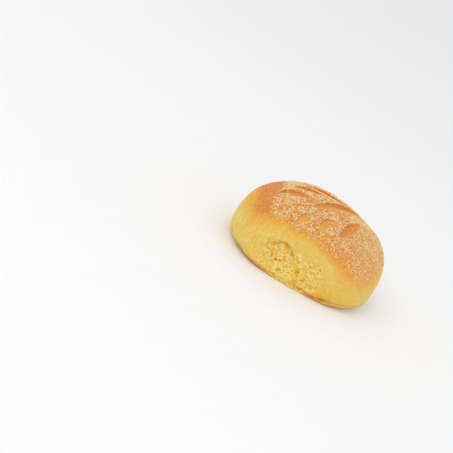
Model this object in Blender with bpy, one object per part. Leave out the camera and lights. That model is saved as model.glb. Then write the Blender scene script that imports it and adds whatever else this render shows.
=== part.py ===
# A corn bread roll with a wheat ear cut into its crown, coarse corn meal baked onto
# it, and open crumb where it was torn from its neighbours in the tray. Metres, Z up.
# The origin is the middle of the roll's plan, on the surface that it rests on.
import math
import random

import bmesh
import bpy
from mathutils import Euler, Vector, noise
from mathutils.bvhtree import BVHTree

MM = 0.001

# The whole roll
LENGTH = 96 * MM
FRONT_REACH = 46 * MM  # from the crown's middle to the front, before the side is pressed flat
BACK_REACH = 45 * MM
FRONT_FLAT = 36.4 * MM  # where the neighbour in front held the dough back
BACK_FLAT = 43 * MM
FLAT_SOFTNESS = 3 * MM
WAIST_HEIGHT = 12.4 * MM  # the widest level, before the foot is cut flat
CROWN_RISE = 36 * MM  # from the waist to the top
FOOT_CUT = 3.0 * MM
PLAN_POWER = 1.95
CROWN_POWER = 2.6
BACK_POWER = 1.95  # the free back of the crown is rounder
FOOT_POWER = 3.2
CROWN_LEAN = (1.2 * MM, 1.1 * MM)  # how far the top sits to the right and to the back
PLAN_SHIFT = -2.6 * MM  # brings the middle of the box to the origin

# Swellings and hollows of the dough: middle x and y, radius, height
SWELLINGS = (
    (32 * MM, 4 * MM, 10 * MM, 0.5 * MM),
    (-14 * MM, 7 * MM, 12 * MM, 1.5 * MM),
    (6 * MM, 30 * MM, 13 * MM, 0.3 * MM),
    (-30 * MM, -14 * MM, 9 * MM, 0.4 * MM),
    (22 * MM, 6 * MM, 8 * MM, -2.4 * MM),
    (38 * MM, -8 * MM, 9 * MM, -0.7 * MM),
)
WAVE_LENGTH = 24 * MM
WAVE_HEIGHT = 0.45 * MM

# The cuts of the wheat ear, seen from above. The lip lies to the left of the way from
# start to end and stands off the straight line by bow, most of it at the share lean of
# the way. The floor rises from the foot of the lip to the crust, width away.
CUTS = {
    "stem": dict(start=(-13.2, -20), end=(19.6, 13.5), bow=2.3, lean=0.48, width=7.1, depth=2.0),
    "stem_tail": dict(start=(-24, -23.2), end=(-12.2, -19.4), bow=0.4, lean=0.3, width=1.8, depth=0.9),
    "front_leaf_1": dict(start=(-17.6, -36), end=(-9.8, -25.6), bow=3.0, lean=0.6, width=6.2, depth=1.2),
    "front_leaf_2": dict(start=(-3.8, -36.2), end=(2.2, -23), bow=3.7, lean=0.65, width=6.4, depth=1.2),
    "front_leaf_3": dict(start=(8.2, -32.4), end=(18.6, -7.2), bow=2.7, lean=0.37, width=6.2, depth=1.4),
    "back_leaf_1": dict(start=(-32.8, -14.8), end=(-11, -11.8), bow=5.6, lean=0.1, width=7.4, depth=1.6),
    "back_leaf_2": dict(start=(-26.2, -2.2), end=(-6.6, -1.7), bow=1.3, lean=0.2, width=3.6, depth=1.4),
    "back_leaf_3": dict(start=(-17, 3.8), end=(7.4, 7.8), bow=0.3, lean=0.5, width=4.0, depth=1.4),
}
CUT_STATIONS = 11
CUT_CLEAR = 4 * MM  # how far a cutter stands above the crust
CUT_SKIM = 0.15 * MM  # the floor's far edge leaves the crust by this much

# The torn sides, each of a few round lobes: x, height, radius, how deep the skin came away
# there and over how wide an edge, in millimetres
FRONT_TEAR = (
    (-16.2, 14.1, 9.8, 1.8, 2.2),
    (3.8, 13.4, 9.8, 0.9, 3.0),
    (-22.7, 6.8, 5.6, 1.0, 2.4),
    (-7.2, 8.8, 8.0, 1.0, 2.0),
    (8.8, 8.3, 6.5, 0.9, 2.8),
    (-14.2, 6.8, 6.0, 1.0, 2.0),
    (-1.2, 6.3, 5.5, 0.8, 2.0),
)
BACK_TEAR = (
    (-7.0, 12.8, 7.0, 1.2, 1.6),
    (4.0, 10.3, 7.5, 1.6, 1.4),
    (13.0, 8.8, 5.0, 0.9, 2.0),
)
TEAR_FOOT = (0.4 * MM, 2.2 * MM)  # tears fade out between these heights, over the foot
TEAR_RAGGED = 1.5 * MM
PIT_SIZE = 3.4 * MM
PIT_DEPTH = 1.2 * MM
PIT_START = 0.5 * MM  # holes open where the skin came away deeper than this

# The corn meal: the coarsest grains
GRAIN_COUNT = 110
GRAIN_GAP = 3.2 * MM
GRAIN_RADIUS = (0.42 * MM, 0.7 * MM)
GRAIN_RISE = 0.2  # a grain's middle stands off the skin by this share of its radius
MEAL_LEFT = -34 * MM  # no meal past this line
MEAL_LEVEL = 25 * MM  # nor below this height
SEED = 12

BODY_STEPS = 17
TEAR_STEPS = 2


def clear_scene():
    for item in list(bpy.data.objects):
        bpy.data.objects.remove(item)


def soft_limit(value, limit):
    """Eases a distance into its limit, so that a round side becomes a flat one."""
    return limit - FLAT_SOFTNESS * math.log1p(math.exp((limit - value) / FLAT_SOFTNESS))


def smooth_step(low, high, value):
    share = min(max((value - low) / (high - low), 0.0), 1.0)
    return share * share * (3 - 2 * share)


def bun_point(way):
    """The point of the bun's skin that lies along a unit vector."""
    crown_power = CROWN_POWER + (BACK_POWER - CROWN_POWER) * smooth_step(0.0, 0.9, way.y)
    rise, power = (CROWN_RISE, crown_power) if way.z > 0 else (WAIST_HEIGHT, FOOT_POWER)
    plan = (abs(way.x) ** PLAN_POWER + abs(way.y) ** PLAN_POWER) ** (1 / PLAN_POWER)
    reach = (plan**power + abs(way.z) ** power) ** (-1 / power)
    x = LENGTH / 2 * reach * way.x
    y = (BACK_REACH if way.y > 0 else FRONT_REACH) * reach * way.y
    z = max(WAIST_HEIGHT + rise * reach * way.z - FOOT_CUT, 0.0)

    height_share = max(z + FOOT_CUT - WAIST_HEIGHT, 0.0) / CROWN_RISE
    x += CROWN_LEAN[0] * height_share**2
    y += CROWN_LEAN[1] * height_share**2
    y = soft_limit(y, BACK_FLAT) if y > 0 else -soft_limit(-y, FRONT_FLAT)
    point = Vector((x, y + PLAN_SHIFT, z))
    point.z += swelling(point) * height_share
    return point


def swelling(point):
    """How far the dough swells beyond the plain form at a point of the crown."""
    total = WAVE_HEIGHT * noise.noise(point / WAVE_LENGTH)
    for x, y, radius, height in SWELLINGS:
        away = (point.x - x) ** 2 + (point.y - y) ** 2
        total += height * math.exp(-away / (2 * radius**2))
    return total


def tear_sink(point):
    """How deep a torn side lies under the skin at a point: 0 on whole crust."""
    side = smooth_step(14 * MM, 22 * MM, abs(point.y)) * smooth_step(*TEAR_FOOT, point.z)
    if not side:
        return 0.0
    ragged = TEAR_RAGGED * noise.noise(point / (5 * MM))
    sinks = []
    for x, z, radius, depth, edge in FRONT_TEAR if point.y < 0 else BACK_TEAR:
        inside = radius * MM - math.hypot(point.x - x * MM, point.z - z * MM)
        sinks.append(depth * MM * smooth_step(0.0, edge * MM, inside + ragged))
    return side * max(sinks)


def pit_depth(point):
    """Irregular holes of the open crumb, with the walls between them left standing."""
    near, next_near = noise.voronoi(point / PIT_SIZE)[0][:2]
    hole = smooth_step(0.05, 0.55, next_near - near)
    return PIT_DEPTH * hole * (0.55 + 0.45 * noise.noise(point / (5 * MM)))


def make_body():
    """The bun itself, its torn sides sunk and pitted."""
    mesh = bpy.data.meshes.new("corn_bread_roll")
    bm = bmesh.new()
    bmesh.ops.create_cube(bm, size=2.0)
    bmesh.ops.subdivide_edges(bm, edges=bm.edges[:], cuts=BODY_STEPS - 1, use_grid_fill=True)
    for vert in bm.verts:
        spread = Vector(math.tan(math.pi / 4 * value) for value in vert.co)
        vert.co = bun_point(spread.normalized())

    torn = [f for f in bm.faces if any(tear_sink(v.co) > 0 for v in f.verts)]
    edges = {edge for face in torn for edge in face.edges}
    bmesh.ops.subdivide_edges(bm, edges=list(edges), cuts=TEAR_STEPS, use_grid_fill=True)
    bmesh.ops.recalc_face_normals(bm, faces=bm.faces[:])
    bm.normal_update()
    for vert in bm.verts:
        sink = tear_sink(vert.co)
        if sink > PIT_START:
            sink += pit_depth(vert.co)
        vert.co -= vert.normal * sink

    foot = [f for f in bm.faces if all(v.co.z < 1e-6 for v in f.verts)]
    bmesh.ops.dissolve_faces(bm, faces=foot, use_verts=True)
    bmesh.ops.triangulate(bm, faces=bm.faces[:])
    bm.to_mesh(mesh)
    bm.free()
    body = bpy.data.objects.new("corn_bread_roll", mesh)
    bpy.context.scene.collection.objects.link(body)
    return body


def skin_height(tree, x, y):
    return tree.ray_cast(Vector((x, y, 1.0)), Vector((0, 0, -1)))[0].z


def cut_line(cut, share):
    """Where the lip runs, and the unit vector to its right, at a share of its length."""
    start, end = (Vector(cut[key]) * MM for key in ("start", "end"))
    along = end - start
    left = Vector((-along.y, along.x)).normalized()
    control = start + along * cut["lean"] + left * 2 * cut["bow"] * MM
    rest = 1 - share
    place = start * rest**2 + control * 2 * rest * share + end * share**2
    heading = (control - start) * rest + (end - control) * share
    return place, Vector((heading.y, -heading.x)).normalized()


def make_cutter(name, cut, tree, collection):
    """A blade whose sloping underside leaves one cut of the ear."""
    bm = bmesh.new()
    rings = []
    for station in range(CUT_STATIONS):
        share = station / (CUT_STATIONS - 1)
        fullness = math.sin(math.pi * share) ** 0.7
        lip, right = cut_line(cut, share)
        far = lip + right * MM * (0.3 + cut["width"] * fullness)
        lip_z, far_z = skin_height(tree, *lip), skin_height(tree, *far)
        floor_z = lip_z + CUT_SKIM - cut["depth"] * MM * fullness
        corners = (
            (lip, floor_z),
            (far, far_z + CUT_SKIM),
            (far, far_z + CUT_CLEAR),
            (lip, lip_z + CUT_CLEAR),
        )
        rings.append([bm.verts.new((*place, z)) for place, z in corners])
    for ring, after in zip(rings, rings[1:]):
        for i in range(4):
            j = (i + 1) % 4
            bm.faces.new((ring[i], ring[j], after[j], after[i]))
    bm.faces.new(rings[0])
    bm.faces.new(rings[-1])
    bmesh.ops.recalc_face_normals(bm, faces=bm.faces[:])
    mesh = bpy.data.meshes.new(name)
    bm.to_mesh(mesh)
    bm.free()
    cutter = bpy.data.objects.new(name, mesh)
    collection.objects.link(cutter)


def over_a_cut(x, y):
    """True where a cut lies, with a little room round it."""
    for cut in CUTS.values():
        for station in range(CUT_STATIONS):
            lip, right = cut_line(cut, station / (CUT_STATIONS - 1))
            middle = lip + right * MM * cut["width"] / 2
            if math.hypot(x - middle.x, y - middle.y) < (cut["width"] / 2 + 0.8) * MM:
                return True
    return False


def grain_places(tree):
    """Points of the crown where the coarsest grains lie, with the skin's normal there."""
    draw = random.Random(SEED)
    found = []
    while len(found) < GRAIN_COUNT:
        x = draw.uniform(MEAL_LEFT, LENGTH / 2)
        y = draw.uniform(-FRONT_REACH, BACK_REACH)
        place, normal, _, _ = tree.ray_cast(Vector((x, y, 1.0)), Vector((0, 0, -1)))
        if place is None or place.z < MEAL_LEVEL or over_a_cut(x, y):
            continue
        if all((place - other).length > GRAIN_GAP for other, _ in found):
            found.append((place, normal))
    return found


def make_grains(places, collection):
    draw = random.Random(SEED + 1)
    for number, (place, normal) in enumerate(places):
        radius = draw.uniform(*GRAIN_RADIUS)
        mesh = bpy.data.meshes.new(f"grain_{number}")
        bm = bmesh.new()
        bmesh.ops.create_icosphere(bm, subdivisions=1, radius=radius)
        bmesh.ops.scale(bm, vec=(1.0, draw.uniform(0.7, 1.0), draw.uniform(0.6, 0.8)), verts=bm.verts)
        spin = Euler((0, 0, draw.uniform(0, math.tau))).to_matrix()
        tilt = normal.to_track_quat("Z", "Y").to_matrix()
        bmesh.ops.rotate(bm, matrix=tilt @ spin, verts=bm.verts)
        bmesh.ops.translate(bm, vec=place + normal * radius * GRAIN_RISE, verts=bm.verts)
        bm.to_mesh(mesh)
        bm.free()
        collection.objects.link(bpy.data.objects.new(mesh.name, mesh))


def join_collection(body, collection, operation):
    """Applies one Boolean of a whole collection to the body and removes the collection."""
    boolean = body.modifiers.new(collection.name, "BOOLEAN")
    boolean.operation = operation
    boolean.solver = "EXACT"
    boolean.operand_type = "COLLECTION"
    boolean.collection = collection
    bpy.context.view_layer.objects.active = body
    bpy.ops.object.modifier_apply(modifier=boolean.name)
    for item in list(collection.objects):
        bpy.data.objects.remove(item)
    bpy.data.collections.remove(collection)


def new_collection(name):
    collection = bpy.data.collections.new(name)
    bpy.context.scene.collection.children.link(collection)
    return collection


def crust_material():
    material = bpy.data.materials.new("golden_crust")
    material.use_nodes = True
    shader = material.node_tree.nodes["Principled BSDF"]
    shader.inputs["Base Color"].default_value = (0.80, 0.47, 0.17, 1.0)
    shader.inputs["Roughness"].default_value = 0.62
    shader.inputs["Metallic"].default_value = 0.0
    return material


def main():
    clear_scene()
    body = make_body()
    skin = bmesh.new()
    skin.from_mesh(body.data)
    tree = BVHTree.FromBMesh(skin)
    skin.free()

    blades = new_collection("blades")
    for name, cut in CUTS.items():
        make_cutter(name, cut, tree, blades)
    join_collection(body, blades, "DIFFERENCE")

    meal = new_collection("meal")
    make_grains(grain_places(tree), meal)
    join_collection(body, meal, "UNION")

    body.data.materials.append(crust_material())
    body.data.shade_smooth()
    body.data.set_sharp_from_angle(angle=math.radians(40))


main()
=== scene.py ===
import math
import random

import bpy
import numpy as np
from mathutils import Matrix, Vector, noise
from mathutils.bvhtree import BVHTree


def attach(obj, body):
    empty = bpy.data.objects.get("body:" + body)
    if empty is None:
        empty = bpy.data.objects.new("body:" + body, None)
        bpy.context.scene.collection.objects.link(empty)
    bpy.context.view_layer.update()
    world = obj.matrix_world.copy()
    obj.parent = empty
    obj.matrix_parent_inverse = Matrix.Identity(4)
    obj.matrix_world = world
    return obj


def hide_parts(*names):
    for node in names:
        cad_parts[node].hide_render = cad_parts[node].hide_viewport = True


mm = 0.001
noise.seed_set(8)  # without it, noise_vector differs from run to run

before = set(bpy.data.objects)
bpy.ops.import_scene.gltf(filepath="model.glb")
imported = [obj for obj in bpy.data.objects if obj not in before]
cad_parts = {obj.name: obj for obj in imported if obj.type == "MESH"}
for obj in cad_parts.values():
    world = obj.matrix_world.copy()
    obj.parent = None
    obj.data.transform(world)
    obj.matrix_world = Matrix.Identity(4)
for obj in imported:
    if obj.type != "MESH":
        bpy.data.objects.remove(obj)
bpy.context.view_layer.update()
bpy.ops.object.select_all(action="DESELECT")


# Small helpers

def smoothStep(low, high, value):
    share = np.clip((value - low) / (high - low), 0.0, 1.0)
    return share * share * (3 - 2 * share)


# Soft noise in -1 to 1, with lumps about size wide. Each shift gives another
def noiseAt(points, size, shift=0.0):
    away = Vector((shift, shift * 0.7, -shift))
    return np.array([noise.noise(Vector(p) / size + away) for p in points])


def addFloat(mesh, name, values):  # a mask that the materials read
    layer = mesh.attributes.new(name, "FLOAT", "POINT")
    layer.data.foreach_set("value", np.asarray(values, np.float32))


def floatsOf(mesh, name):
    values = np.empty(len(mesh.vertices), np.float32)
    mesh.attributes[name].data.foreach_get("value", values)
    return values


def coordsOf(mesh):
    flat = np.empty(len(mesh.vertices) * 3, np.float32)
    mesh.vertices.foreach_get("co", flat)
    return flat.reshape(-1, 3).astype(float)


def putCoords(mesh, coords):
    mesh.vertices.foreach_set("co", coords.astype(np.float32).ravel())
    mesh.update()


def normalsOf(mesh):
    flat = np.empty(len(mesh.vertices) * 3, np.float32)
    mesh.vertex_normals.foreach_get("vector", flat)
    return flat.reshape(-1, 3).astype(float)


# Soft hills, added up. A row says x, y, radius, all in mm, and how much. With second=2 it
# says the height over the foot in place of y
def hills(points, rows, second=1):
    total = np.zeros(len(points))
    for first, other, radius, much in rows:
        away = (points[:, 0] - first * mm) ** 2 + (points[:, second] - other * mm) ** 2
        total += much * np.exp(-away / (2 * (radius * mm) ** 2))
    return total


def alongX(points, line):  # what a line of pairs, x in mm and value, says at each point
    return np.interp(points[:, 0] / mm, *zip(*line))


def ridge(values, middle, width):  # 1 at the middle, fading over width to both sides
    return np.exp(-(((values - middle) / width) ** 2))


def treeOf(mesh):
    faces = [tuple(face.vertices) for face in mesh.polygons]
    return BVHTree.FromPolygons([v.co.copy() for v in mesh.vertices], faces)


def fromAbove(tree, x, y):  # what a look straight down meets: place, normal, face, distance
    return tree.ray_cast(Vector((x, y, 1.0)), Vector((0, 0, -1)))


# The bun's form, as the solid has it

bun = {
    "length": 96 * mm,
    "frontReach": 46 * mm,  # from the crown's middle to the front, before it is pressed flat
    "backReach": 45 * mm,
    "frontFlat": 36.4 * mm,  # the side is pressed flat here
    "backFlat": 43 * mm,
    "flatSoftness": 3 * mm,
    "waist": 12.4 * mm,  # the widest level, before the foot is cut flat
    "rise": 36 * mm,
    "footCut": 3.0 * mm,
    # How square the bun is: 2 is an ellipse, and more is squarer
    "planPower": 1.95,
    "crownPower": 2.6,
    "backPower": 1.95,
    "backFrom": 0.9,  # the back's power is reached this far round, of 1
    "footPower": 3.2,
    "lean": (1.2 * mm, 1.1 * mm),  # how far the top leans over
    "shift": -2.6 * mm,  # brings the box's middle to y = 0
    "waveLength": 24 * mm,
    "waveHeight": 0.45 * mm,
    # Swellings and hollows of the dough: middle x and y, radius, height, in mm
    "swellings": ((32, 4, 10, 0.5), (-14, 7, 12, 1.5), (6, 30, 13, 0.3), (-30, -14, 9, 0.4),
                  (22, 6, 8, -2.4), (38, -8, 9, -0.7)),
}


def softLimit(value, limit):
    soft = bun["flatSoftness"]
    return limit - soft * np.log1p(np.exp((limit - value) / soft))


def bunPoints(ways):  # where unit vectors from the bun's heart meet its skin
    x, y, z = ways.T
    crown, back = bun["crownPower"], bun["backPower"]
    crown = crown + (back - crown) * smoothStep(0.0, bun["backFrom"], y)
    power = np.where(z > 0, crown, bun["footPower"])
    rise = np.where(z > 0, bun["rise"], bun["waist"])
    plan = (np.abs(x) ** bun["planPower"] + np.abs(y) ** bun["planPower"]) ** (1 / bun["planPower"])
    reach = (plan**power + np.abs(z) ** power) ** (-1 / power)
    x = bun["length"] / 2 * reach * x
    y = np.where(y > 0, bun["backReach"], bun["frontReach"]) * reach * y
    z = np.maximum(bun["waist"] + rise * reach * z - bun["footCut"], 0.0)

    height = np.maximum(z + bun["footCut"] - bun["waist"], 0.0) / bun["rise"]
    x = x + bun["lean"][0] * height**2
    y = y + bun["lean"][1] * height**2
    y = np.where(y > 0, softLimit(y, bun["backFlat"]), -softLimit(-y, bun["frontFlat"]))
    points = np.column_stack((x, y + bun["shift"], z))
    swell = bun["waveHeight"] * noiseAt(points, bun["waveLength"])
    swell += hills(points, bun["swellings"]) * mm
    points[:, 2] += swell * height
    return points


def spreadWays(cube):  # cube points to unit vectors, evenly spread
    spread = np.tan(np.pi / 4 * cube)
    return spread / np.linalg.norm(spread, axis=1)[:, None]


# The torn sides. Each lobe: x, height, radius, how deep the skin came away and over how
# wide an edge, all in mm

torn = {
    "front": (
        (-16.2, 14.1, 9.8, 1.8, 2.2),
        (3.8, 13.4, 9.8, 0.9, 3.0),
        (-22.7, 6.8, 5.6, 1.0, 2.4),
        (-7.2, 8.8, 8.0, 1.0, 2.0),
        (8.8, 8.3, 6.5, 0.9, 2.8),
        (-14.2, 6.8, 6.0, 1.0, 2.0),
        (-1.2, 6.3, 5.5, 0.8, 2.0),
        # Only the skin has these, too shallow for the solid
        (-26.2, 19.2, 2.2, 0.3, 1.5),
        (-5.5, 17.6, 5.0, 0.1, 2.6),
        (-10.0, 4.0, 5.0, 0.3, 2.0),
        (3.5, 4.2, 5.5, 0.3, 2.0),
    ),
    "back": (
        (-7.0, 12.8, 7.0, 1.2, 1.6),
        (4.0, 10.3, 7.5, 1.6, 1.4),
        (13.0, 8.8, 5.0, 0.9, 2.0),
    ),
    "foot": (0.4 * mm, 2.2 * mm),  # tears fade out between these heights
    "fringe": (0.1 * mm, 0.7 * mm),  # and their crumb between these
    "sides": (14 * mm, 22 * mm),  # tears fade in between these distances from the middle
    "ragged": 1.5 * mm,  # how far the edge wanders, in large and in small
    "raggedSize": 5 * mm,
    "frayed": 0.5 * mm,
    "frayedSize": 1.3 * mm,
    "curl": 0.05 * mm,  # how far the skin stands up along a tear, and how wide
    "curlWidth": 0.5 * mm,
    "room": 0.45 * mm,  # fine mesh reaches this far past the tear
    # The holes that catch the eye: x, height, half width, half height, depth, in mm
    "bigHoles": (
        (-26.6, 19.9, 1.1, 0.6, 0.5),
        (-21.0, 20.0, 0.8, 0.5, 0.4),
        (-18.8, 20.1, 0.5, 0.7, 0.4),
        (-14.9, 21.6, 1.3, 1.1, 0.8),
        (-11.5, 23.0, 1.0, 0.7, 0.4),
        (-9.6, 21.2, 0.9, 1.1, 0.4),
        (-8.9, 18.1, 0.8, 0.7, 0.3),
        (-14.4, 15.8, 0.7, 0.7, 0.3),
        (-17.1, 13.8, 0.9, 0.6, 0.6),
        (-16.4, 10.8, 1.0, 0.9, 0.8),
        (-13.7, 11.5, 1.3, 1.0, 0.5),
        (-24.7, 10.9, 0.9, 0.9, 0.5),
        (-19.8, 11.8, 0.6, 1.1, 0.4),
        (-24.8, 17.2, 0.5, 1.4, 0.3),
        (-1.4, 10.7, 2.2, 1.3, 0.7),
        (-0.7, 13.7, 1.3, 0.6, 0.5),
        (3.0, 17.7, 0.8, 1.1, 0.5),
        (9.0, 18.5, 0.8, 1.1, 0.6),
        (6.4, 15.3, 0.8, 0.7, 0.4),
        (3.8, 10.7, 0.8, 0.8, 0.5),
        (3.4, 7.6, 1.1, 0.9, 0.5),
        (8.7, 12.6, 0.6, 1.1, 0.4),
        (-6.3, 7.4, 1.0, 0.7, 0.3),
        (-11.8, 5.9, 0.8, 0.7, 0.4),
        (-0.3, 5.0, 1.0, 0.7, 0.3),
    ),
    "holeEdge": (1.15, 0.35),  # a big hole's edge, in half widths from its middle
    # Pores in three sizes: cell size, depth, share of the cells that are open
    "pores": ((3.4 * mm, 0.35 * mm, 0.5), (2.0 * mm, 0.42 * mm, 0.95), (1.05 * mm, 0.14 * mm, 0.9)),
    "poreWall": (0.07, 0.4),  # where a wall ends and where its pore is fully open, in cells
    "openSoftly": 0.12,
    "scatter": 7.31,  # spreads the cells, so that each has a chance of its own
    "leastCrumb": 0.02,  # no pore where there is less crumb
    "warpSize": 2.2 * mm,  # what bends the pores' walls
    "warp": 0.8 * mm,
    "deepest": 1.2 * mm,  # pores as deep as this get the darkest painted shade at their bottom
    # Painted shade on the crumb: x, height, radius, in mm, and how much
    "shadeSpots": ((-19, 10.5, 4, 0.12), (-7.5, 9.5, 3.5, 0.08)),
    # The shade under the first lobe's upper edge: how far inside, how wide, and round to where
    "shade": (1.9 * mm, 1.4 * mm),
    "shadeTurn": (1.5, 0.8),
}


def tearFray(points):
    return torn["ragged"] * noiseAt(points, torn["raggedSize"])


def tearReach(points, frayed=True):  # how far inside a tear each point lies, how torn and how sunk
    sides = smoothStep(*torn["sides"], np.abs(points[:, 1]))
    fray = tearFray(points)
    if frayed:
        fray += torn["frayed"] * noiseAt(points, torn["frayedSize"], 7.0)
    inside = np.full(len(points), -1.0)
    opened = np.zeros(len(points))
    sink = np.zeros(len(points))
    for side, sign in (("front", -1), ("back", 1)):
        here = points[:, 1] * sign > 0
        for x, z, radius, depth, edge in torn[side]:
            away = np.hypot(points[:, 0] - x * mm, points[:, 2] - z * mm)
            lobe = radius * mm - away + fray
            share = smoothStep(0.0, edge * mm, lobe)
            inside = np.where(here, np.maximum(inside, lobe), inside)
            opened = np.where(here, np.maximum(opened, share), opened)
            sink = np.where(here, np.maximum(sink, depth * mm * share), sink)
    crumb = opened * sides * smoothStep(*torn["fringe"], points[:, 2])
    return inside, crumb, sink * sides * smoothStep(*torn["foot"], points[:, 2])


def poreDepth(points):  # how deep the crumb's holes are, under the torn surface
    warp = np.array([noise.noise_vector(Vector(p) / torn["warpSize"]) for p in points]) * torn["warp"]
    total = np.zeros(len(points))
    softly = torn["openSoftly"]
    for size, depth, openShare in torn["pores"]:
        walls, chances = np.empty((2, len(points)))
        for i, p in enumerate(points + warp):
            gaps, cells = noise.voronoi(Vector(p) / size)
            walls[i] = gaps[1] - gaps[0]
            chances[i] = 0.5 + 0.5 * noise.noise(cells[0] * torn["scatter"])
        openness = np.clip((openShare + softly - chances) / (2 * softly), 0.0, 1.0)
        total += depth * smoothStep(*torn["poreWall"], walls) * openness * (0.6 + 0.8 * chances)
    for x, z, halfWide, halfHigh, depth in torn["bigHoles"]:
        dx = (points[:, 0] + warp[:, 0] - x * mm) / (halfWide * mm)
        dz = (points[:, 2] + warp[:, 2] - z * mm) / (halfHigh * mm)
        total += (points[:, 1] < 0) * depth * mm * smoothStep(*torn["holeEdge"], np.hypot(dx, dz))
    return total


# The scored ear. Seen from above, a lip lies to the left of the way from start to end and
# stands off the straight line by bow; the floor rises from the lip's foot to the crust

ear = {
    # In mm. Lean is where along the way the bow is strongest, tone how far the floor has
    # browned, lip how dark the line along the lip is (browned edge and painted shade under the lip) and
    # veil how far the meal hides the start
    "cuts": {
        "stem": {"start": (-13.2, -20), "end": (19.6, 13.5), "bow": 2.3, "lean": 0.48,
                 "width": 7.1, "depth": 2.0, "tone": 0.5},
        "stemTail": {"start": (-24, -23.2), "end": (-12.2, -19.4), "bow": 0.4, "lean": 0.3,
                     "width": 1.8, "depth": 0.9, "tone": -0.3, "lip": 0.0},
        "frontLeaf1": {"start": (-17.6, -36), "end": (-9.8, -25.6), "bow": 3.0, "lean": 0.6,
                       "width": 6.2, "depth": 1.2, "tone": 0.1},
        "frontLeaf2": {"start": (-3.8, -36.2), "end": (2.2, -23), "bow": 3.7, "lean": 0.65,
                       "width": 6.4, "depth": 1.2, "tone": 0.3},
        "frontLeaf3": {"start": (8.2, -32.4), "end": (18.6, -7.2), "bow": 2.7, "lean": 0.37,
                       "width": 6.2, "depth": 1.4, "tone": 1.5},
        "backLeaf1": {"start": (-32.8, -14.8), "end": (-11, -11.8), "bow": 5.6, "lean": 0.1,
                      "width": 7.4, "depth": 1.6, "tone": 0.8, "veil": 0.25},
        "backLeaf2": {"start": (-26.2, -2.2), "end": (-6.6, -1.7), "bow": 1.3, "lean": 0.2,
                      "width": 3.6, "depth": 1.4, "tone": 0.9},
        "backLeaf3": {"start": (-17, 3.8), "end": (7.4, 7.8), "bow": 0.3, "lean": 0.5,
                      "width": 4.0, "depth": 1.4, "tone": 0.9},
    },
    "plainVeil": 0.05,  # of the cuts that name none
    "stations": 61,  # points along a lip
    "ends": 0.6,  # under 1, the cuts stay wide towards their tips
    "leastWidth": 0.3 * mm,
    "lowest": 20 * mm,  # no point under this height is cut
    "beside": 4 * mm,  # the lip rises within this distance of its edge
    "lipHeight": 0.35 * mm,
    "lipWidth": 1.1 * mm,
    "overhang": 0.25 * mm,
    "overhangWidth": 0.4 * mm,
    "lipShade": (0.28 * mm, 0.36 * mm),  # the dark line under the lip, browned crust with painted shade: how far out and how wide
    "farStep": 0.16 * mm,  # the crust's thickness where the floor meets it
    "snap": 0.13 * mm,  # points nearer to the lip than this are laid on it
    "wall": (-0.3 * mm, 1.1 * mm),  # the floor sinks between these distances from the lip
    "farEdge": (1.0, 0.93),  # the crust's step and the bare floor, in shares of the width
    "bareEdge": (1.02, 0.84),
}


def cutLine(cut):  # the lip's points, the unit vectors to its right and the fullness there
    share = np.linspace(0, 1, ear["stations"])[:, None]
    start, end = (np.array(cut[key], float) * mm for key in ("start", "end"))
    along = end - start
    left = np.array((-along[1], along[0])) / np.linalg.norm(along)
    control = start + along * cut["lean"] + left * 2 * cut["bow"] * mm
    lip = start * (1 - share) ** 2 + control * 2 * (1 - share) * share + end * share**2
    heading = (control - start) * (1 - share) + (end - control) * share
    right = np.column_stack((heading[:, 1], -heading[:, 0]))
    right /= np.linalg.norm(right, axis=1)[:, None]
    return lip, right, np.sin(np.pi * share[:, 0]) ** ear["ends"]


def cutPlaces(cut, points):  # share of the way and distance to the lip's right, for each point
    lip, right, fullness = cutLine(cut)
    share = np.full(len(points), -1.0)
    across = np.full(len(points), 1.0)
    reach = cut["width"] * mm + ear["beside"]
    low, high = lip.min(axis=0) - reach, lip.max(axis=0) + reach
    near = np.flatnonzero(np.all((points[:, :2] > low) & (points[:, :2] < high), axis=1))
    best = np.full(len(near), 1.0)
    plan = points[near, :2]
    for i in range(len(lip) - 1):
        step = lip[i + 1] - lip[i]
        part = ((plan - lip[i]) @ step) / (step @ step)
        held = np.clip(part, 0, 1)
        offset = plan - lip[i] - held[:, None] * step
        gap = np.linalg.norm(offset, axis=1)
        beyond = (i == 0) & (part < 0) | (i == len(lip) - 2) & (part > 1)
        better = gap < best
        best = np.where(better, gap, best)
        side = offset @ right[i]
        place = np.where(beyond, -1.0, (i + held) / (len(lip) - 1))
        share[near] = np.where(better, place, share[near])
        across[near] = np.where(better, np.sign(side) * gap, across[near])
    return share, across, lip, right, fullness


def skinHeights(tree, places):
    return np.array([fromAbove(tree, x, y)[0].z for x, y in places])


# Where the roll browned and where the meal lies: heights on the front and on the back, at x,
# all in mm. The first gold shows at the start line and the crust is brown at the full line

baking = {
    "start": {
        "front": ((-46, 10.8), (-39.2, 11.3), (-36.2, 14.3), (-33.2, 16.8), (-27.2, 20.8),
                  (-17.2, 24.8), (-7.2, 26.8), (-0.2, 25.3), (6.8, 20.8), (13.8, 17.8),
                  (20.8, 10.8), (30.8, 1.8), (46, 0.8)),
        "back": ((-46, 10.8), (-20, 16.8), (5, 12.8), (30, 7.8), (46, 0.8)),
    },
    "full": {
        "front": ((-46, 42.8), (-39.2, 32.2), (-36.2, 33.3), (-33.2, 36.3), (-27.2, 39.3),
                  (-17.2, 39.4), (-7.2, 39.8), (6.8, 42.8), (13.8, 39.8), (20.8, 44.8),
                  (30.8, 52.8), (46, 58.8)),
        "back": ((-46, 42.8), (-20, 36.8), (5, 34.8), (30, 40.8), (46, 58.8)),
    },
    "waver": (1.2, 9 * mm),  # how far the lines waver, in mm, and over what length
    "over": (-25.0, 25.0),  # between these y, in mm, the front line turns into the back line
}
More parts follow.
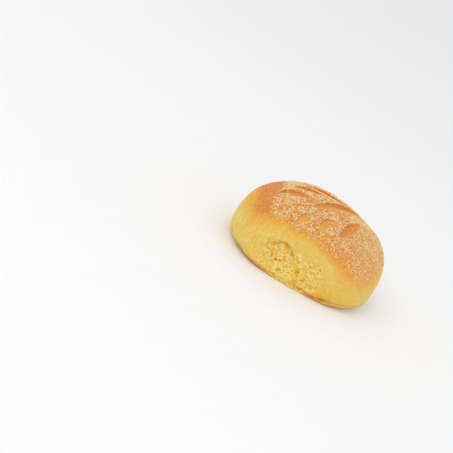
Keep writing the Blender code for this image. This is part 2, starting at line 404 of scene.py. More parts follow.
strewn = {
    "least": -34.0,  # the solid's grains start here
    # Where the meal starts from the left, at y, and how high it starts, at x
    "left": ((-36, -22), (-33.7, -26.5), (-27.6, -32), (-22.9, -33), (-13.6, -32.6), (0.6, -30),
             (12, -29), (40, -26)),
    "front": ((-33, 30), (-26.5, 29.4), (-22.9, 30.6), (-12.3, 31.4), (-4.2, 31), (3.9, 28.6),
              (12.1, 25.8), (22.5, 21.4), (32.7, 18.4), (38.8, 20.2), (42.6, 26.4), (46, 30)),
    "back": ((-36, 30), (0, 27), (30, 22), (43, 26)),
    "leftWaver": (0.9, 3.5 * mm),  # how far each edge wavers, in mm, and over what length
    "lowWaver": (1.8, 4.5 * mm),
    "leftFade": (0.9, 3.5),  # how soft the left edge is, on the front and on the back, in mm
    "leftOver": (0.0, 20.0),  # between these y, in mm, that changes
    "lowFade": (0.5, 5.0),  # how far the lower edge fades down and up, in mm
    "barest": 0.08,  # how thick it lies between its clumps
    "clumpSizes": (1.6 * mm, 6 * mm),
    "clumpShares": (1.0, 0.4),  # how much the small and the large clumps count
    "clumpEdge": (-0.35, 0.35),  # noise levels between which the meal thickens
    # Where the meal lies thicker or thinner: x, y, radius, in mm, and how much
    "heaps": ((31, -30, 7, 0.5), (-33, -13, 1.8, 0.9), (-30.5, -23.5, 2, 0.4),
              (-17, -25, 2, 0.3), (-12.5, -35.3, 1.4, 0.9), (-10.2, -30, 1.4, 0.9),
              (-15.5, -15.5, 2.5, -0.8), (-7, -33.6, 1.8, -0.8), (-6, -37, 2, 0.5),
              (-1.5, -36, 1.5, 0.5), (11.7, -35.5, 2, 0.7), (30, -33.9, 3, 0.5),
              (38.5, -20, 4, 0.5), (6.5, -15, 4, -0.45), (19, 9, 3, -0.3), (-27, 0, 4, 0.9)),
}


def lineHeights(lines, points):  # a front and a back line, blended over the top
    front, back = (alongX(points, lines[side]) for side in ("front", "back"))
    return front + (back - front) * smoothStep(*baking["over"], points[:, 1] / mm)


def bakeLevels(points):
    reach, size = baking["waver"]
    z = points[:, 2] / mm + reach * noiseAt(points, size, 3.0)
    return smoothStep(lineHeights(baking["start"], points), lineHeights(baking["full"], points), z)


def mealZone(points):  # 1 where the meal was strewn, without its clumps
    x, y, z = points.T / mm
    (leftReach, leftSize), (lowReach, lowSize) = strewn["leftWaver"], strewn["lowWaver"]
    x = x + leftReach * noiseAt(points, leftSize, 5.0)
    z = z + lowReach * noiseAt(points, lowSize, 9.0)
    line = lineHeights(strewn, points)
    left = np.interp(y, *zip(*strewn["left"]))
    onFront, onBack = strewn["leftFade"]
    soft = onFront + (onBack - onFront) * smoothStep(*strewn["leftOver"], y)
    down, up = strewn["lowFade"]
    return smoothStep(left - soft, left + soft, x) * smoothStep(line - down, line + up, z)


def mealClumps(points):
    sizes, shares, barest = strewn["clumpSizes"], strewn["clumpShares"], strewn["barest"]
    level = sum(share * noiseAt(points, size, 2.0) for size, share in zip(sizes, shares))
    clumps = barest + (1 - barest) * smoothStep(*strewn["clumpEdge"], level)
    return np.clip(clumps + hills(points, strewn["heaps"]), 0.0, 1.0)


# The roll itself

rollMesh = {
    "rounds": (6, 4, 1),  # cuts of the cube's edges, round by round
    "crumbCuts": 3,
    "cutCuts": 2,
    "leftRoom": 1.2 * mm,  # fine mesh reaches this far past a cut's lip and past its far edge
    "rightRoom": 0.8 * mm,
    "blisters": ((7 * mm, 0.10 * mm), (2.4 * mm, 0.045 * mm)),  # lump size and height
    "blistersFrom": (0.2 * mm, 2 * mm),  # they fade in between these heights
    # How high the rim's crease runs along the front, at x, in mm
    "rimLine": ((-46, 4.2), (-36, 3.2), (-30, 2.3), (-24, 1.8), (-12, 1.7), (-6, 2.2), (0, 2.5),
                (6, 2.2), (11, 1.7), (15, 2.2), (18, 3.1), (22, 3.9), (29, 4.7), (46, 6)),
    "rimWaver": (0.3 * mm, 2.5 * mm),  # how far it wavers and over what length
    "rimWidth": 1.05 * mm,
    "rimSpread": (0.7, 0.5),  # share of that width where it is pale, and what full brown adds
    "rimCrease": 0.3 * mm,
    # How brown the rim is along the front, at x in mm, and behind
    "rimBrown": ((-46, 0.7), (-30, 0.6), (-25, 0.7), (-20, 0.7), (-16, 0.5), (-11, 0.3), (-4, 0.3),
                 (4, 0.7), (9, 1), (19, 1), (22, 0.55), (28, 0.4), (46, 0.5)),
    "rimBrownBehind": 0.6,
    "rimPatches": (6 * mm, 0.8, 0.6),  # size of its browner patches, their mean and their swing
    # The foot's ragged edge: size and height of its lumps and of its notches, and the heights
    # between which it grows to its full strength
    "edgeLumps": ((5 * mm, 0.45 * mm), (1.8 * mm, 0.3 * mm)),
    "edgeNotches": (3.5 * mm, 0.35 * mm),
    "notchLevels": (0.1, 0.5),  # noise levels between which a notch deepens
    "edgeBand": (4.5 * mm, 1.2 * mm),
    "footDents": (4 * mm, 0.35 * mm),  # size and height of the dents underneath
    "dentLevels": (0.05, 0.5),
    "footReach": (40 * mm, 33 * mm),  # they stay inside this oval
    "reachEdge": (1.0, 0.94),  # and deepen between these shares of it
    "footBand": (1.2 * mm, 0.2 * mm),  # the foot's colour fades in between these heights
    "footPale": 0.25,  # how much of it shows where the rim isn't brown
    "footCrumb": 0.7,  # how far open crumb hides it
}


def pickFaces(piece, picked):  # leaves the piece in edit mode with only these faces selected
    bpy.ops.object.mode_set(mode="EDIT")
    bpy.ops.mesh.select_mode(type="FACE")
    bpy.ops.mesh.select_all(action="DESELECT")
    bpy.ops.object.mode_set(mode="OBJECT")
    piece.data.polygons.foreach_set("select", picked)
    bpy.ops.object.mode_set(mode="EDIT")


def faceMasks(mesh, pointMask):  # faces with a masked point
    return np.array([pointMask[list(face.vertices)].any() for face in mesh.polygons])


def nearTears(points):
    inside, *_ = tearReach(points, frayed=False)
    return inside > -torn["room"]


def nearCuts(points):
    near = np.zeros(len(points), bool)
    stations = np.linspace(0, 1, ear["stations"])
    for cut in ear["cuts"].values():
        share, across, *_, fullness = cutPlaces(cut, points)
        reach = cut["width"] * mm * np.interp(share, stations, fullness) + rollMesh["rightRoom"]
        near |= (share >= 0) & (across > -rollMesh["leftRoom"]) & (across < reach)
    return near & (points[:, 2] > ear["lowest"])


def makeRoll():
    bpy.ops.mesh.primitive_cube_add(size=2)
    roll = bpy.context.object
    roll.name = roll.data.name = "rollCrust"
    bpy.ops.object.mode_set(mode="EDIT")
    bpy.ops.mesh.select_all(action="SELECT")
    for cuts in rollMesh["rounds"]:
        bpy.ops.mesh.subdivide(number_cuts=cuts)
    bpy.ops.object.mode_set(mode="OBJECT")

    # Finer faces where the skin is torn or cut
    for isNear, cuts in ((nearTears, rollMesh["crumbCuts"]), (nearCuts, rollMesh["cutCuts"])):
        picked = isNear(bunPoints(spreadWays(coordsOf(roll.data))))
        pickFaces(roll, faceMasks(roll.data, picked))
        bpy.ops.mesh.subdivide(number_cuts=cuts)
        bpy.ops.object.mode_set(mode="OBJECT")

    mesh = roll.data
    putCoords(mesh, bunPoints(spreadWays(coordsOf(mesh))))
    print("roll: form,", len(mesh.polygons), "faces")
    return roll


def blisterLift(points):
    lift = sum(height * noiseAt(points, size, 1.0) for size, height in rollMesh["blisters"])
    return lift * smoothStep(*rollMesh["blistersFrom"], points[:, 2])


def tearLift(points, front, masks):  # how far the skin rises, mostly below zero, where it tore
    inside, crumb, sink = tearReach(points)
    near = np.flatnonzero(crumb > torn["leastCrumb"])
    pores = np.zeros(len(points))
    pores[near] = poreDepth(points[near]) * crumb[near]
    masks["crumb"] = crumb
    # Painted shade: the deeper a pore, the darker the crumb's colour there, and a few spots painted darker
    # still
    masks["pitShade"] = np.clip(pores / torn["deepest"], 0, 1) + hills(points, torn["shadeSpots"], second=2)

    # Painted shade: an ochre band just inside the first lobe's upper edge, on the front
    cx, cz, radius = (value * mm for value in torn["front"][0][:3])
    dx, dz = points[:, 0] - cx, points[:, 2] - cz
    shade = ridge(radius - np.hypot(dx, dz) + tearFray(points), *torn["shade"])
    masks["tearShade"] = shade * smoothStep(*torn["shadeTurn"], np.abs(np.arctan2(dx, dz))) * front
    return torn["curl"] * ridge(inside, -torn["curlWidth"], torn["curlWidth"]) - sink - pores


def cutEar(uncut, points, moved, masks):
    crown = points[:, 2] > ear["lowest"]
    stations = np.linspace(0, 1, ear["stations"])
    floor, lipShade, tone = np.zeros((3, len(points)))
    for cut in ear["cuts"].values():
        share, across, lip, right, fullness = cutPlaces(cut, points)
        wide = ear["leastWidth"] + cut["width"] * mm * fullness
        lipZ = skinHeights(uncut, lip)
        farZ = skinHeights(uncut, lip + right * wide[:, None])
        full = np.interp(share, stations, fullness) * (share >= 0)
        width = np.interp(share, stations, wide)
        rightX, rightY = (np.interp(share, stations, right[:, k]) for k in (0, 1))

        onLip = (share >= 0) & (np.abs(across) < ear["snap"]) & crown
        moved[onLip, 0] -= (rightX * across)[onLip]
        moved[onLip, 1] -= (rightY * across)[onLip]
        across = np.where(onLip, 0.0, across)

        within = (share >= 0) & (across > 0) & (across < width) & crown
        t = np.clip(across / width, 0, 1)  # 0 at the lip and 1 at the far edge
        base = np.interp(share, stations, lipZ) * (1 - t) + np.interp(share, stations, farZ) * t
        sunk = cut["depth"] * mm * (1 - t) * smoothStep(*ear["wall"], across)
        drop = full * (sunk + ear["farStep"] * smoothStep(*ear["farEdge"], t))
        moved[:, 2] = np.where(within, np.minimum(moved[:, 2], base - drop), moved[:, 2])
        shown = smoothStep(0.0, cut.get("veil", ear["plainVeil"]), share)
        floor = np.where(within, smoothStep(*ear["bareEdge"], t) * shown, floor)
        tone = np.where(within, cut["tone"], tone)

        beside = (share >= 0) & (across <= 0) & (across > -ear["beside"]) & crown
        moved[:, 2] += ear["lipHeight"] * ridge(across, 0.0, ear["lipWidth"]) * full * beside
        curled = ear["overhang"] * ridge(across, 0.0, ear["overhangWidth"]) * full * beside
        moved[:, 0] += rightX * curled
        moved[:, 1] += rightY * curled
        # A dark line under the lip: partly the crust's browned edge, partly painted shade
        line = ridge(across, *ear["lipShade"]) * full**0.7 * (share >= 0)
        lipShade = np.maximum(lipShade, line * cut.get("lip", 1.0))
    masks.update(floor=floor, lip=lipShade, tone=tone)


def creaseFoot(points, front, moved, masks):  # a creased brown rim, a ragged edge, dents underneath
    reach, size = rollMesh["rimWaver"]
    rimAt = alongX(points, rollMesh["rimLine"]) * mm + reach * noiseAt(points, size, 4.0)
    brown = np.where(front, alongX(points, rollMesh["rimBrown"]), rollMesh["rimBrownBehind"])
    size, mean, swing = rollMesh["rimPatches"]
    brown = np.clip(brown * (mean + swing * noiseAt(points, size, 13.0)), 0.0, 1.0)
    least, more = rollMesh["rimSpread"]
    rim = ridge(points[:, 2], rimAt, rollMesh["rimWidth"] * (least + more * brown)) * brown

    outward = points * (1, 1, 0)
    outward /= np.maximum(np.linalg.norm(outward, axis=1), 1 * mm)[:, None]
    ragged = sum(height * noiseAt(points, size, 6.0) for size, height in rollMesh["edgeLumps"])
    size, depth = rollMesh["edgeNotches"]
    ragged -= depth * smoothStep(*rollMesh["notchLevels"], noiseAt(points, size, 11.0))
    low = smoothStep(*rollMesh["edgeBand"], points[:, 2])
    moved += outward * (ragged * low - rollMesh["rimCrease"] * rim)[:, None]

    size, depth = rollMesh["footDents"]
    dents = depth * smoothStep(*rollMesh["dentLevels"], noiseAt(points, size, 8.0))
    fromMiddle = np.linalg.norm(points[:, :2] / rollMesh["footReach"], axis=1)
    dents *= smoothStep(*rollMesh["reachEdge"], fromMiddle)
    moved[:, 2] = np.maximum(np.where(points[:, 2] <= 0, dents, moved[:, 2]), 0.0)
    masks["rim"] = rim
    pale = rollMesh["footPale"]
    masks["foot"] = smoothStep(*rollMesh["footBand"], points[:, 2]) * (pale + (1 - pale) * brown)
    masks["foot"] *= 1 - rollMesh["footCrumb"] * masks["crumb"]


def shapeRoll(roll):
    mesh = roll.data
    points = coordsOf(mesh)
    normals = normalsOf(mesh)
    front = points[:, 1] < 0
    masks = {"bake": bakeLevels(points), "warm": hills(points, crustLook["warmed"], second=2) * front}
    moved = points + normals * blisterLift(points)[:, None]
    moved += normals * tearLift(points, front, masks)[:, None]
    cutEar(treeOf(mesh), points, moved, masks)
    masks["strewn"] = mealZone(points) * (1 - masks["floor"])
    masks["meal"] = masks["strewn"] * mealClumps(points)
    creaseFoot(points, front, moved, masks)
    putCoords(mesh, moved)
    for name, values in masks.items():
        addFloat(mesh, name, values)
    print("roll: torn, cut and creased")


# Shader maths as Python

class Wire:  # a node's socket that can be reckoned with like a number
    tree = None

    def __init__(self, socket):
        self.socket = socket

    @classmethod
    def node(cls, kind, settings=None, inputs=None, output=0):
        made = cls.tree.nodes.new(kind)
        for key, value in (settings or {}).items():
            if key == "stops":
                cls.setStops(made.color_ramp, value)
            else:
                setattr(made, key, value)
        for key, value in (inputs or {}).items():
            if isinstance(value, Wire):
                cls.tree.links.new(value.socket, made.inputs[key])
            else:
                made.inputs[key].default_value = value
        return None if output is None else Wire(made.outputs[output])

    @staticmethod
    def setStops(ramp, stops):
        while len(ramp.elements) > 1:
            ramp.elements.remove(ramp.elements[0])
        for place, _ in stops[1:]:
            ramp.elements.new(place)
        for element, (place, colour) in zip(ramp.elements, stops):
            element.position = place
            element.color = colour

    def maths(self, operation, *others):
        inputs = {i: value for i, value in enumerate((self, *others))}
        return Wire.node("ShaderNodeMath", {"operation": operation}, inputs)

    def __add__(self, other):
        return self.maths("ADD", other)

    def __sub__(self, other):
        return self.maths("SUBTRACT", other)

    def __mul__(self, other):
        return self.maths("MULTIPLY", other)

    def __rsub__(self, other):
        return Wire.node("ShaderNodeMath", {"operation": "SUBTRACT"}, {0: other, 1: self})

    __radd__ = __add__
    __rmul__ = __mul__

    def span(self, low, high, start=0.0, end=1.0):  # low to high becomes start to end, held there
        return Wire.node("ShaderNodeMapRange", {"interpolation_type": "SMOOTHSTEP"},
                         {"Value": self, "From Min": low, "From Max": high, "To Min": start, "To Max": end})


def mask(name):
    return Wire.node("ShaderNodeAttribute", {"attribute_name": name}, output="Fac")


def blend(under, over, share, way="MIX"):
    return Wire.node("ShaderNodeMix", {"data_type": "RGBA", "blend_type": way},
                     {0: share, 6: under, 7: over}, output=2)


def speckle(place, scale, detail=2.0, roughness=0.5):
    return Wire.node("ShaderNodeTexNoise", {}, {"Vector": place, "Scale": scale, "Detail": detail,
                                               "Roughness": roughness}, output="Fac")


def paint(red, green, blue):  # a colour as a paint chip gives it, 0 to 255, made linear
    def linear(value):
        value /= 255
        return value / 12.92 if value <= 0.04045 else ((value + 0.055) / 1.055) ** 2.4
    return (linear(red), linear(green), linear(blue), 1.0)


def startMaterial(name):
    material = bpy.data.materials.new(name)
    material.use_nodes = True
    Wire.tree = material.node_tree
    Wire.tree.nodes.clear()
    return material


def ramp(value, stops):
    return Wire.node("ShaderNodeValToRGB", {"stops": stops}, {"Fac": value})


def tinted(value):  # the same number in all three colours
    return Wire.node("ShaderNodeCombineColor", {}, {"Red": value, "Green": value, "Blue": value})


def bump(height, strength, distance):
    return Wire.node("ShaderNodeBump", {}, {"Strength": strength, "Distance": distance, "Height": height},
                     output="Normal")


def finishMaterial(colour, roughness, normal, sockets):
    inputs = {"Base Color": colour, "Roughness": roughness, "Normal": normal, **sockets}
    surface = Wire.node("ShaderNodeBsdfPrincipled", {}, inputs)
    Wire.node("ShaderNodeOutputMaterial", {}, {"Surface": surface}, output=None)


softLight = {  # light that soaks a little way into the dough
    "Specular IOR Level": 0.3,
    "Subsurface Weight": 0.5,
    "Subsurface Radius": (1.0, 0.5, 0.15),
    "Subsurface Scale": 1.3 * mm,
}


crustLook = {
    "pale": paint(224, 185, 78),
    "paler": paint(226, 199, 106),
    "gold": paint(228, 172, 64),
    "orange": paint(221, 147, 54),
    "deep": paint(210, 122, 50),
    "brown": paint(209, 113, 43),
    "floorGold": paint(225, 165, 72),
    "floorPink": paint(219, 136, 60),
    # The line under a cut's lip: browned edge with painted shade
    "lip": paint(214, 104, 22),
    # The open crumb, from the walls to the bottom of the holes: partly its own gold and partly painted
    # shade, darker down the holes
    "crumb": ((0.0, paint(238, 219, 152)), (0.14, paint(235, 211, 130)), (0.34, paint(231, 194, 82)),
              (0.6, paint(230, 180, 52)), (1.0, paint(220, 148, 26))),
    # Painted shade under the first lobe's torn upper edge
    "tearShade": paint(216, 168, 66),
    "rimBrown": paint(198, 96, 20),
    "foot": paint(214, 152, 70),
    "underMeal": paint(224, 127, 38),
    "dust": paint(242, 204, 142),
    "floorDust": paint(240, 200, 138),
    "floorDeep": paint(208, 116, 50),
    "flour": paint(240, 214, 148),
    "dot": paint(233, 184, 26),
    "fleck": paint(150, 84, 30),
    # Small dark flecks in the skin: place and radius, in mm
    "flecks": ((19.3, -37.6, 28.0, 0.6), (35.1, -32.3, 18.1, 0.6), (-32.7, -34.8, 11.9, 0.4),
               (-8, 40.2, 20, 0.5), (26, 35, 15, 0.5)),
    # Yellow grains that baked into the skin and the crumb
    "yellowSpots": ((-33, -34.5, 14.1, 1.3), (-37.1, -29.5, 20.3, 0.9), (-33.2, -33.3, 20.6, 0.8),
                    (-16.7, -37.9, 28, 0.9), (-1.8, -38.5, 29.3, 1.6), (-29.5, -36.6, 8, 1.1),
                    (-4.7, -38.8, 13.8, 1.9), (27.1, -37.4, 11.6, 0.8), (-34.1, -28.4, 28.3, 1.2),
                    (-43, 12, 17, 1.1), (-30, 32, 14, 1.2), (24, 35.5, 12, 1), (44, 8, 15, 1.2),
                    (41, -20, 10, 0.8)),
    # Where the low skin browned: x, height, radius, in mm, on the front, and how much
    "warmed": ((13, 5.5, 4.5, 0.7), (23, 6.5, 5, 0.6), (34, 8, 5, 0.3)),
    "warm": paint(222, 178, 58),
    # How the skin browns: colour, where in the baking it starts and is full, and how strong
    "browning": (("gold", 0.05, 0.42, 1.0), ("orange", 0.35, 0.75, 1.0),
                 ("deep", 0.65, 0.95, 1.0), ("brown", 0.9, 1.2, 0.6)),
    # Scale, detail and roughness of the broad, blotchy, fine and grainy noise
    "speckles": ((90.0, 3.0, 0.5), (380.0, 3.0, 0.6), (1100.0, 2.0, 0.5), (3000.0, 1.0, 0.5)),
    "skinDepth": 0.12 * mm,  # of its fine roughness
}


def spotted(colour, over, place, spots, wobble, core, strength):  # round spots with soft edges
    for x, y, z, radius in spots:
        away = Wire.node("ShaderNodeVectorMath", {"operation": "DISTANCE"},
                         {0: place, 1: (x * mm, y * mm, z * mm)}, output="Value")
        shown = (away + wobble).span(radius * mm, core * radius * mm)
        colour = blend(colour, over, shown * strength)
    return colour


def skinColour(place, broad, blotch, fine):  # pale sides that brown towards the crown
    look = crustLook
    uneven = (broad - 0.5) * 0.5 + (blotch - 0.5) * 0.25 + (fine - 0.5) * 0.25
    bake = mask("bake") + uneven * mask("bake").span(0.0, 0.3, 0.35, 1.0)
    colour = blend(look["pale"], look["paler"], (blotch * 0.6 + fine * 0.4).span(0.4, 0.58))
    for name, start, full, strength in look["browning"]:
        colour = blend(colour, look[name], bake.span(start, full) * strength)
    colour = blend(colour, look["warm"], mask("warm"))

    # Yellow grains of meal that show in the pale skin, and dark flecks
    dots = Wire.node("ShaderNodeTexVoronoi", {}, {"Vector": place, "Scale": 210.0}, output="Distance")
    shown = dots.span(0.22, 0.1) * (1 - mask("meal")) * broad.span(0.46, 0.56) * 0.7
    colour = blend(colour, look["dot"], shown)
    return spotted(colour, look["fleck"], place, look["flecks"], (fine - 0.5) * 0.6 * mm, 0.4, 0.8)


def cutColour(place, broad, fine):  # a cut's floor, from gold over pink to brown, and dusty
    look = crustLook
    tone = mask("tone")
    pink = tone + (broad - 0.5) * 0.5 + (fine - 0.5) * 0.5
    colour = blend(look["floorGold"], look["floorPink"], pink)
    colour = blend(colour, look["floorDeep"], tone.span(0.9, 1.5, 0.0, 0.6))
    colour = blend(colour, look["floorDeep"], fine.span(0.56, 0.36, 0.0, 0.35))
    dusty = speckle(place, 1300.0, 2.0, 0.7).span(0.5, 0.66) * tone.span(0.3, 1.5, 0.4, 0.12)
    return blend(colour, look["floorDust"], dusty)


def crustMaterial():
    look = crustLook
    material = startMaterial("bakedCrust")
    place = Wire.node("ShaderNodeTexCoord", output="Object")
    broad, blotch, fine, grainy = (speckle(place, *values) for values in look["speckles"])
    colour = skinColour(place, broad, blotch, fine)

    # Browner skin and flour between the strewn grains
    colour = blend(colour, look["underMeal"], mask("strewn") * fine.span(0.35, 0.6, 0.4, 0.75))
    dust = speckle(place, 1500.0, 2.0, 0.7).span(0.46, 0.66) * mask("meal").span(0.1, 0.9) * 0.46
    colour = blend(colour, look["dust"], dust)

    colour = blend(colour, cutColour(place, broad, fine), mask("floor") * 0.9)
    # The dark line under each lip: partly browned crust and partly painted shade
    colour = blend(colour, look["lip"], mask("lip") * (0.4 + 0.5 * mask("tone")))

    # Finer specks of yellow and of flour in the skin
    colour = blend(colour, look["dot"], speckle(place, 1500.0, 1.0).span(0.54, 0.7) * 0.55)
    colour = blend(colour, look["flour"], speckle(place, 1250.0, 1.0, 0.7).span(0.53, 0.72) * 0.55)

    # The crumb's colour follows the depth of its pores: its own gold, with painted shade down the holes
    pitShade = mask("pitShade") + (broad - 0.5) * 0.35 + (fine - 0.5) * 0.25
    colour = blend(colour, ramp(pitShade, look["crumb"]), mask("crumb"))
    colour = spotted(colour, look["dot"], place, look["yellowSpots"], (fine - 0.5) * 1.5 * mm, 0.3, 0.75)
    # Painted shade under the first lobe's upper edge
    colour = blend(colour, look["tearShade"], mask("tearShade") * blotch.span(0.3, 0.6, 0.25, 0.75))
    colour = blend(colour, look["foot"], mask("foot") * blotch.span(0.3, 0.6))
    colour = blend(colour, look["rimBrown"], mask("rim") * blotch.span(0.28, 0.48) * 0.95)
    colour = blend(colour, tinted(0.93 + 0.14 * grainy), 1.0, "MULTIPLY")

    roughness = 0.55 + 0.3 * mask("crumb") + 0.12 * fine
    height = grainy * 0.35 + fine * 0.65 + mask("crumb") * grainy * 1.2 + dust * 1.2
    finishMaterial(colour, roughness, bump(height, 0.5, look["skinDepth"]), softLight)
    return material


# The corn meal: three sizes of broken grain

meal = {
    # Level is the lowest height of a coarse grain, gap the least distance between two, faces how
    # finely a grain is divided and rise how many radii its middle stands over the skin
    "coarse": {"count": 110, "gap": 3.2 * mm, "radius": (0.42 * mm, 0.7 * mm), "seed": 12,
               "level": 25 * mm, "faces": 2, "rise": 0.2},
    "middling": {"count": 5200, "radius": (0.3 * mm, 0.56 * mm), "seed": 31, "faces": 1, "rise": 0.1},
    "fine": {"count": 9500, "radius": (0.14 * mm, 0.28 * mm), "seed": 47, "faces": 1, "rise": 0.15},
    "shapes": 9,  # different grains of each size
    "dents": (-0.22, 0.18),  # how far a ball's corners are moved, of its radius
    "stretch": ((1.0, 1.35), (0.65, 0.95), (0.45, 0.7)),  # long, less wide and flat
    "smallness": 1.6,  # over 1, most grains are small for their kind
    "tip": 0.35,  # how far they lie askew, in radians
    "finerRight": 0.2,  # how much smaller the grains are on the right
    "finerBetween": (-20 * mm, 20 * mm),
    "crowd": 0.25,  # where the meal lies thinner than this, more of its grains are golden
    "steepest": 0.2,  # no grain holds where the skin's normal is lower
    "cutClear": 0.8 * mm,  # the coarse grains keep this far off the cuts
    "cutStep": 6,  # stations of a cut from one of its measured middles to the next
    "colours": ((0.0, paint(255, 234, 194)), (0.45, paint(250, 220, 164)),
                (0.82, paint(242, 198, 122)), (1.0, paint(238, 178, 62))),
}


def overACut(x, y):  # the solid's own rule for its coarse grains
    for cut in ear["cuts"].values():
        lip, right, _ = cutLine(cut)
        middles = (lip + right * mm * cut["width"] / 2)[:: meal["cutStep"]]
        gaps = np.hypot(middles[:, 0] - x, middles[:, 1] - y)
        if gaps.min() < cut["width"] * mm / 2 + meal["cutClear"]:
            return True
    return False


def coarsePlaces(tree, roll, size):
    draw = random.Random(size["seed"])
    density, faces = floatsOf(roll.data, "meal"), roll.data.polygons
    found = []
    while len(found) < size["count"]:
        x = draw.uniform(strewn["least"] * mm, bun["length"] / 2)
        y = draw.uniform(-bun["frontReach"], bun["backReach"])
        place, normal, face, _ = fromAbove(tree, x, y)
        if place is None or place.z < size["level"] or overACut(x, y):
            continue
        if all((place - other[0]).length > size["gap"] for other in found):
            found.append((place, normal, np.mean(density[list(faces[face].vertices)])))
    return found


def strewnPlaces(tree, roll, size):
    draw = random.Random(size["seed"])
    density, faces = floatsOf(roll.data, "meal"), roll.data.polygons
    chosen = []
    while len(chosen) < size["count"]:
        x = draw.uniform((strewn["least"] - 1) * mm, bun["length"] / 2)
        y = draw.uniform(-bun["frontReach"], bun["backReach"])
        luck = draw.random()
        place, normal, face, _ = fromAbove(tree, x, y)
        if place is None:
            continue
        here = np.mean(density[list(faces[face].vertices)])
        if luck < here and normal.z > meal["steepest"]:
            chosen.append((place, normal, here))
    return chosen


def grainShapes(size):  # a few broken grains, each a dented ball
    shapes = []
    draw = np.random.default_rng(size["seed"])
    for _ in range(meal["shapes"]):
        bpy.ops.mesh.primitive_ico_sphere_add(subdivisions=size["faces"], radius=1.0)
        ball = bpy.context.object
        coords = coordsOf(ball.data)
        coords *= 1 + draw.uniform(*meal["dents"], (len(coords), 1))
        coords *= [draw.uniform(*spread) for spread in meal["stretch"]]
        faces = np.array([tuple(face.vertices) for face in ball.data.polygons])
        shapes.append((coords, faces))
        bpy.data.objects.remove(ball)
    return shapes


def makeMeal(name, size, places):
    shapes = grainShapes(size)
    draw = np.random.default_rng(size["seed"] + 1)
    allCoords, allFaces, tones, start = [], [], [], 0
    small, large = size["radius"]
    left, right = meal["finerBetween"]
    for place, normal, here in places:
        coords, faces = shapes[draw.integers(len(shapes))]
        radius = small + (large - small) * draw.random() ** meal["smallness"]
        radius *= 1 - meal["finerRight"] * min(max((place.x - left) / (right - left), 0), 1)
        upright = normal.to_track_quat("Z", "Y").to_matrix()
        turn = Matrix.Rotation(draw.uniform(0, math.tau), 3, "Z")
        tip = Matrix.Rotation(draw.normal(0, meal["tip"]), 3, "X")
        spun = coords @ np.array(upright @ turn @ tip).T
        allCoords.append(spun * radius + np.array(place + normal * radius * size["rise"]))
        allFaces.append(faces + start)
        tones.append(np.full(len(coords), max(draw.random(), 1 - here / meal["crowd"])))
        start += len(coords)
    mesh = bpy.data.meshes.new(name)
    mesh.from_pydata(np.concatenate(allCoords).tolist(), [], np.concatenate(allFaces).tolist())
    addFloat(mesh, "tone", np.concatenate(tones))
    piece = bpy.data.objects.new(name, mesh)
    bpy.context.scene.collection.objects.link(piece)
    print(name, len(places), "grains,", len(mesh.polygons), "faces")
    return piece


def mealMaterial():
    material = startMaterial("cornMeal")
    place = Wire.node("ShaderNodeTexCoord", output="Object")
    cloud = speckle(place, 1800.0, 1.0)
    colour = ramp(mask("tone") + (cloud - 0.5) * 0.3, meal["colours"])
    finishMaterial(colour, 0.6 + 0.2 * cloud, bump(cloud, 0.3, 0.05 * mm), softLight)
    return material


# Floor, light and camera

studio = {
    "floorSize": 6.0,
    "white": (0.93, 0.93, 0.93, 1.0),
    "offWhite": (0.91, 0.91, 0.91, 1.0),
    "worldStrength": 0.88,
    # Name, place, power and size
    "lamps": (("key", (-0.45, -0.45, 0.75), 1.8, 0.7), ("fill", (0.5, -0.7, 0.3), 0.6, 0.9)),
    "aim": (0, 0, 20 * mm),
}
shot = {  # how the photograph sees the roll, which leans over there
    "azimuth": -8.0,
    "elevation": 21.0,
    "distance": 640 * mm,
    "target": (0.0, -2.6 * mm, 17.6 * mm),
    "roll": 32.5,  # the roll leans this far clockwise in the picture
    "targetPixel": (310.4, 241.2),
    "imageSize": 453,
    "focalPixels": 1063.0,
    "sensor": 36.0,
    "clip": (0.01, 20.0),
}


def makeFloor():
    bpy.ops.mesh.primitive_plane_add(size=studio["floorSize"])
    floor = bpy.context.object
    floor.name = "floor"
    material = startMaterial("paleFloor")
    place = Wire.node("ShaderNodeTexCoord", output="Object")
    mottle = speckle(place, 60.0)
    colour = blend(studio["white"], studio["offWhite"], mottle)
    finishMaterial(colour, 0.8 + 0.1 * mottle, bump(mottle, 0.1, 0.1 * mm), {"Specular IOR Level": 0.2})
    floor.data.materials.append(material)


def softbox(name, place, power, size):
    bpy.ops.object.light_add(type="AREA", location=place)
    lamp = bpy.context.object
    lamp.name = name
    lamp.data.energy = power
    lamp.data.shape = "SQUARE"
    lamp.data.size = size
    lamp.rotation_euler = (Vector(place) - Vector(studio["aim"])).to_track_quat("Z", "Y").to_euler()


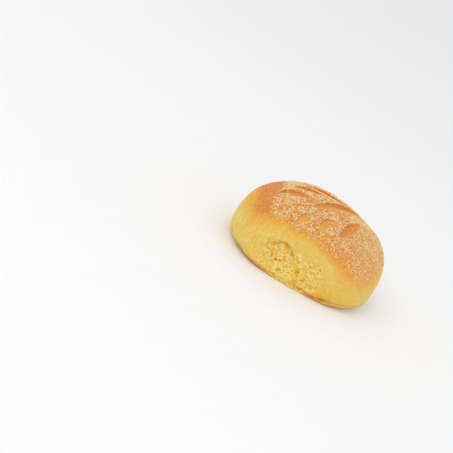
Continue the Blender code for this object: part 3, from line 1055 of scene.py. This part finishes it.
def makeStudio():
    world = bpy.data.worlds.new("studio")
    bpy.context.scene.world = world
    world.use_nodes = True
    background = world.node_tree.nodes["Background"]
    background.inputs["Color"].default_value = (1, 1, 1, 1)
    background.inputs["Strength"].default_value = studio["worldStrength"]
    for lamp in studio["lamps"]:
        softbox(*lamp)
    bpy.context.scene.view_settings.view_transform = "Standard"


def makeCamera():
    azimuth, elevation = math.radians(shot["azimuth"]), math.radians(shot["elevation"])
    level = Vector((math.sin(azimuth), -math.cos(azimuth), 0))
    back = level * math.cos(elevation) + Vector((0, 0, math.sin(elevation)))
    right = Vector((math.cos(azimuth), math.sin(azimuth), 0))
    up = back.cross(right)
    lean = math.radians(shot["roll"])
    cameraRight = right * math.cos(lean) + up * math.sin(lean)
    cameraUp = up * math.cos(lean) - right * math.sin(lean)
    aimed = Matrix((cameraRight, cameraUp, back)).transposed()
    middle = shot["imageSize"] / 2
    across, down = shot["targetPixel"]
    sight = Vector((across - middle, middle - down, -shot["focalPixels"]))
    offAim = Vector((0, 0, -1)).rotation_difference(sight).to_matrix()

    bpy.ops.object.camera_add()
    camera = bpy.context.object
    camera.matrix_world = Matrix.Translation(Vector(shot["target"]) + back * shot["distance"]) @ (
        aimed @ offAim.transposed()).to_4x4()
    camera.data.sensor_width = shot["sensor"]
    camera.data.lens = shot["sensor"] * shot["focalPixels"] / shot["imageSize"]
    camera.data.clip_start, camera.data.clip_end = shot["clip"]
    bpy.context.scene.camera = camera


roll = makeRoll()
shapeRoll(roll)
roll.data.materials.append(crustMaterial())
roll.data.shade_smooth()
skin = treeOf(roll.data)
grit = mealMaterial()
pieces = [roll]
for kind in ("coarse", "middling", "fine"):
    findPlaces = coarsePlaces if kind == "coarse" else strewnPlaces
    places = findPlaces(skin, roll, meal[kind])
    piece = makeMeal(kind + "Meal", meal[kind], places)
    piece.data.materials.append(grit)
    pieces.append(piece)

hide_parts("corn_bread_roll")
for piece in pieces:
    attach(piece, "root")
makeFloor()
makeStudio()
makeCamera()
print("floor, light and camera: set")
